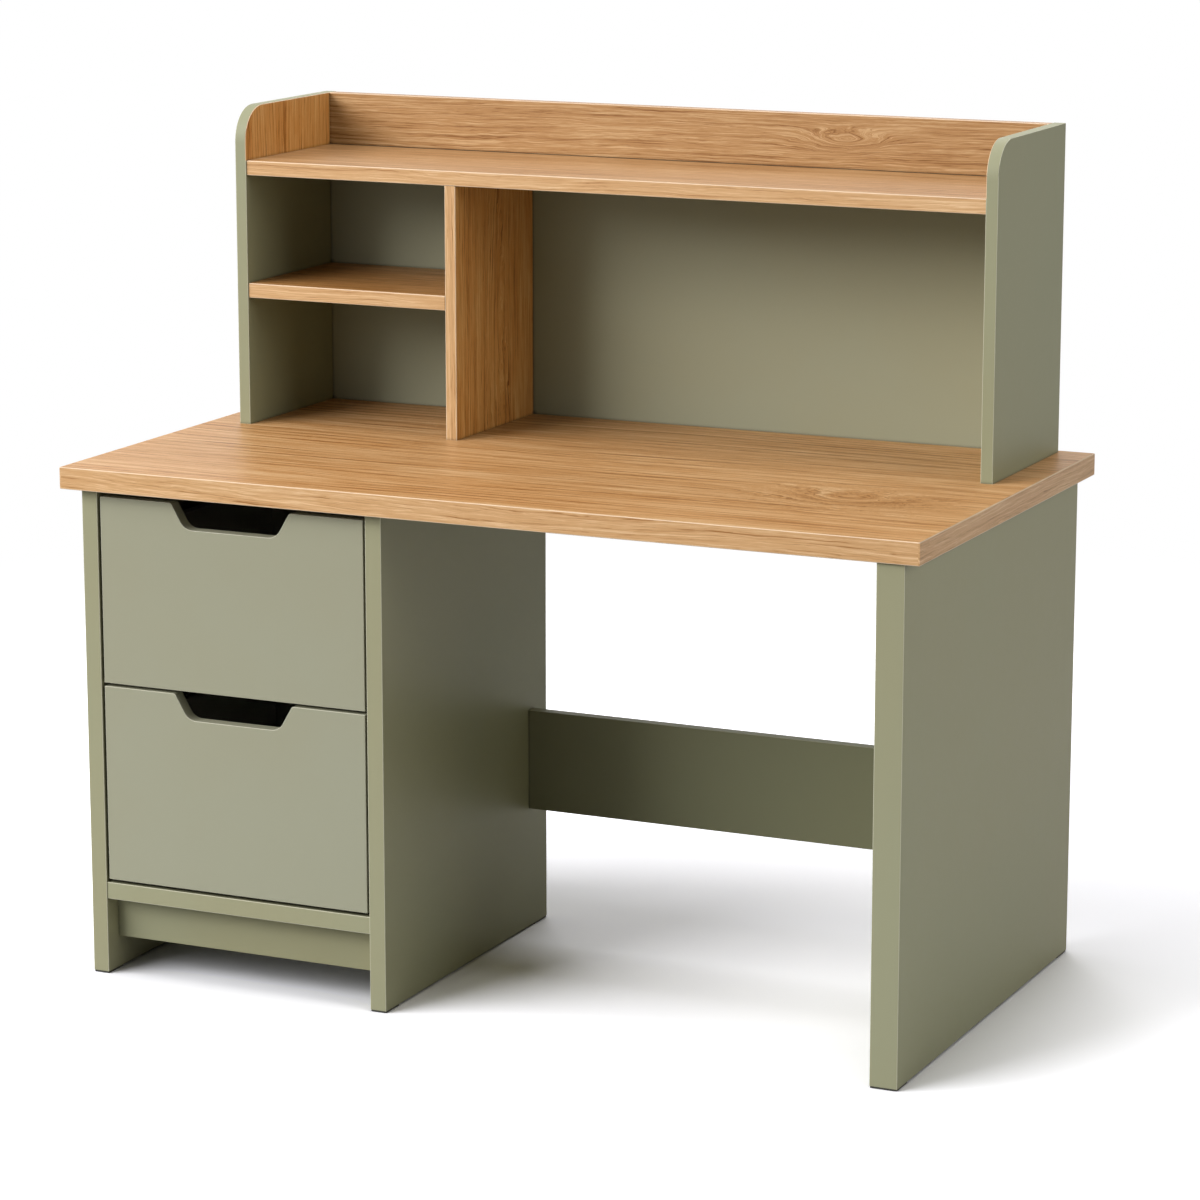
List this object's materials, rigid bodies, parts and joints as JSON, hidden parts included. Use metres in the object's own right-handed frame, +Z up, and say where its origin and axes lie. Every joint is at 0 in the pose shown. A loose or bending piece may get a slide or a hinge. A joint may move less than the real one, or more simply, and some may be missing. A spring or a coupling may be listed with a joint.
{
  "type": "student desk with hutch",
  "caption": "Student desk in sage lacquer and oak veneer, with a drawer pedestal, a leg panel, a stretcher and a shelved hutch on the back of its top.",
  "frame": {"origin": "on the floor, under the middle of the part's box", "axes": "+X to the sitter's right, +Y to the back, +Z up; the drawers open along -Y"},
  "size_m": [1.3, 0.72, 1.225],
  "materials": {
    "sage_lacquer": "satin sage-green lacquer on board",
    "oak_veneer": "oiled oak veneer, satin",
    "oak_edge": "oak edge band, satin",
    "drawer_board": "foil-wrapped drawer board, pale grey",
    "back_board": "thin painted fibreboard",
    "beech": "fluted beech",
    "slide_steel": "zinc-plated pressed steel",
    "cage_steel": "plated sheet and polished balls",
    "screw_steel": "zinc-plated steel",
    "cam_zinc": "die-cast zinc",
    "glide_plastic": "dark moulded plastic"
  },
  "bodies": {
    "desk": {"desktop_board": "oak_veneer", "desktop_edge_bands": "oak_edge", "right_leg_panel": "sage_lacquer", "left_side_panel": "sage_lacquer", "pedestal_inner_panel": "sage_lacquer", "pedestal_bottom": "sage_lacquer", "plinth_rail": "sage_lacquer", "pedestal_back": "back_board", "stretcher_rail": "sage_lacquer", "foot_glides": "glide_plastic", "hutch_left_side": "sage_lacquer", "hutch_right_side": "sage_lacquer", "hutch_left_facing": "oak_veneer", "hutch_right_facing": "oak_veneer", "hutch_top_shelf": "oak_veneer", "hutch_back_rail": "oak_veneer", "hutch_divider": "oak_veneer", "hutch_middle_shelf": "oak_veneer", "hutch_back_panel": "sage_lacquer", "slide_wall_screws": "screw_steel", "hutch_screws": "screw_steel", "shelf_pins": "screw_steel", "wood_dowels": "beech", "cam_locks": "cam_zinc", "cam_bolts": "screw_steel", "upper_left_slide_cabinet_member": "slide_steel", "upper_right_slide_cabinet_member": "slide_steel", "lower_left_slide_cabinet_member": "slide_steel", "lower_right_slide_cabinet_member": "slide_steel"},
    "upper_drawer": {"upper_drawer_front": "sage_lacquer", "upper_drawer_left_side": "drawer_board", "upper_drawer_right_side": "drawer_board", "upper_drawer_back": "drawer_board", "upper_drawer_floor": "back_board", "upper_drawer_cam_fittings": "cam_zinc", "upper_drawer_screws": "screw_steel", "upper_left_slide_drawer_member": "slide_steel", "upper_right_slide_drawer_member": "slide_steel"},
    "upper_slide_middle": {"upper_left_slide_middle_member": "slide_steel", "upper_right_slide_middle_member": "slide_steel"},
    "upper_outer_cages": {"upper_slide_outer_cages": "cage_steel"},
    "upper_inner_cages": {"upper_slide_inner_cages": "cage_steel"},
    "lower_drawer": {"lower_drawer_front": "sage_lacquer", "lower_drawer_left_side": "drawer_board", "lower_drawer_right_side": "drawer_board", "lower_drawer_back": "drawer_board", "lower_drawer_floor": "back_board", "lower_drawer_cam_fittings": "cam_zinc", "lower_drawer_screws": "screw_steel", "lower_left_slide_drawer_member": "slide_steel", "lower_right_slide_drawer_member": "slide_steel"},
    "lower_slide_middle": {"lower_left_slide_middle_member": "slide_steel", "lower_right_slide_middle_member": "slide_steel"},
    "lower_outer_cages": {"lower_slide_outer_cages": "cage_steel"},
    "lower_inner_cages": {"lower_slide_inner_cages": "cage_steel"}
  },
  "joints": [
    {"name": "upper_drawer_slide", "type": "slide", "parent": "desk", "child": "upper_drawer", "axis": [0, -1, 0], "range_m": [0, 0.44]},
    {"name": "upper_middle_member_slide", "type": "slide", "parent": "desk", "child": "upper_slide_middle", "axis": [0, -1, 0], "range_m": [0, 0.22]},
    {"name": "upper_outer_cage_slide", "type": "slide", "parent": "desk", "child": "upper_outer_cages", "axis": [0, -1, 0], "range_m": [0, 0.11]},
    {"name": "upper_inner_cage_slide", "type": "slide", "parent": "desk", "child": "upper_inner_cages", "axis": [0, -1, 0], "range_m": [0, 0.33]},
    {"name": "lower_drawer_slide", "type": "slide", "parent": "desk", "child": "lower_drawer", "axis": [0, -1, 0], "range_m": [0, 0.44]},
    {"name": "lower_middle_member_slide", "type": "slide", "parent": "desk", "child": "lower_slide_middle", "axis": [0, -1, 0], "range_m": [0, 0.22]},
    {"name": "lower_outer_cage_slide", "type": "slide", "parent": "desk", "child": "lower_outer_cages", "axis": [0, -1, 0], "range_m": [0, 0.11]},
    {"name": "lower_inner_cage_slide", "type": "slide", "parent": "desk", "child": "lower_inner_cages", "axis": [0, -1, 0], "range_m": [0, 0.33]}
  ],
  "couplings": [
    {"joint": "upper_middle_member_slide", "follows": "upper_drawer_slide", "ratio": 0.5},
    {"joint": "upper_outer_cage_slide", "follows": "upper_drawer_slide", "ratio": 0.25},
    {"joint": "upper_inner_cage_slide", "follows": "upper_drawer_slide", "ratio": 0.75},
    {"joint": "lower_middle_member_slide", "follows": "lower_drawer_slide", "ratio": 0.5},
    {"joint": "lower_outer_cage_slide", "follows": "lower_drawer_slide", "ratio": 0.25},
    {"joint": "lower_inner_cage_slide", "follows": "lower_drawer_slide", "ratio": 0.75}
  ]
}
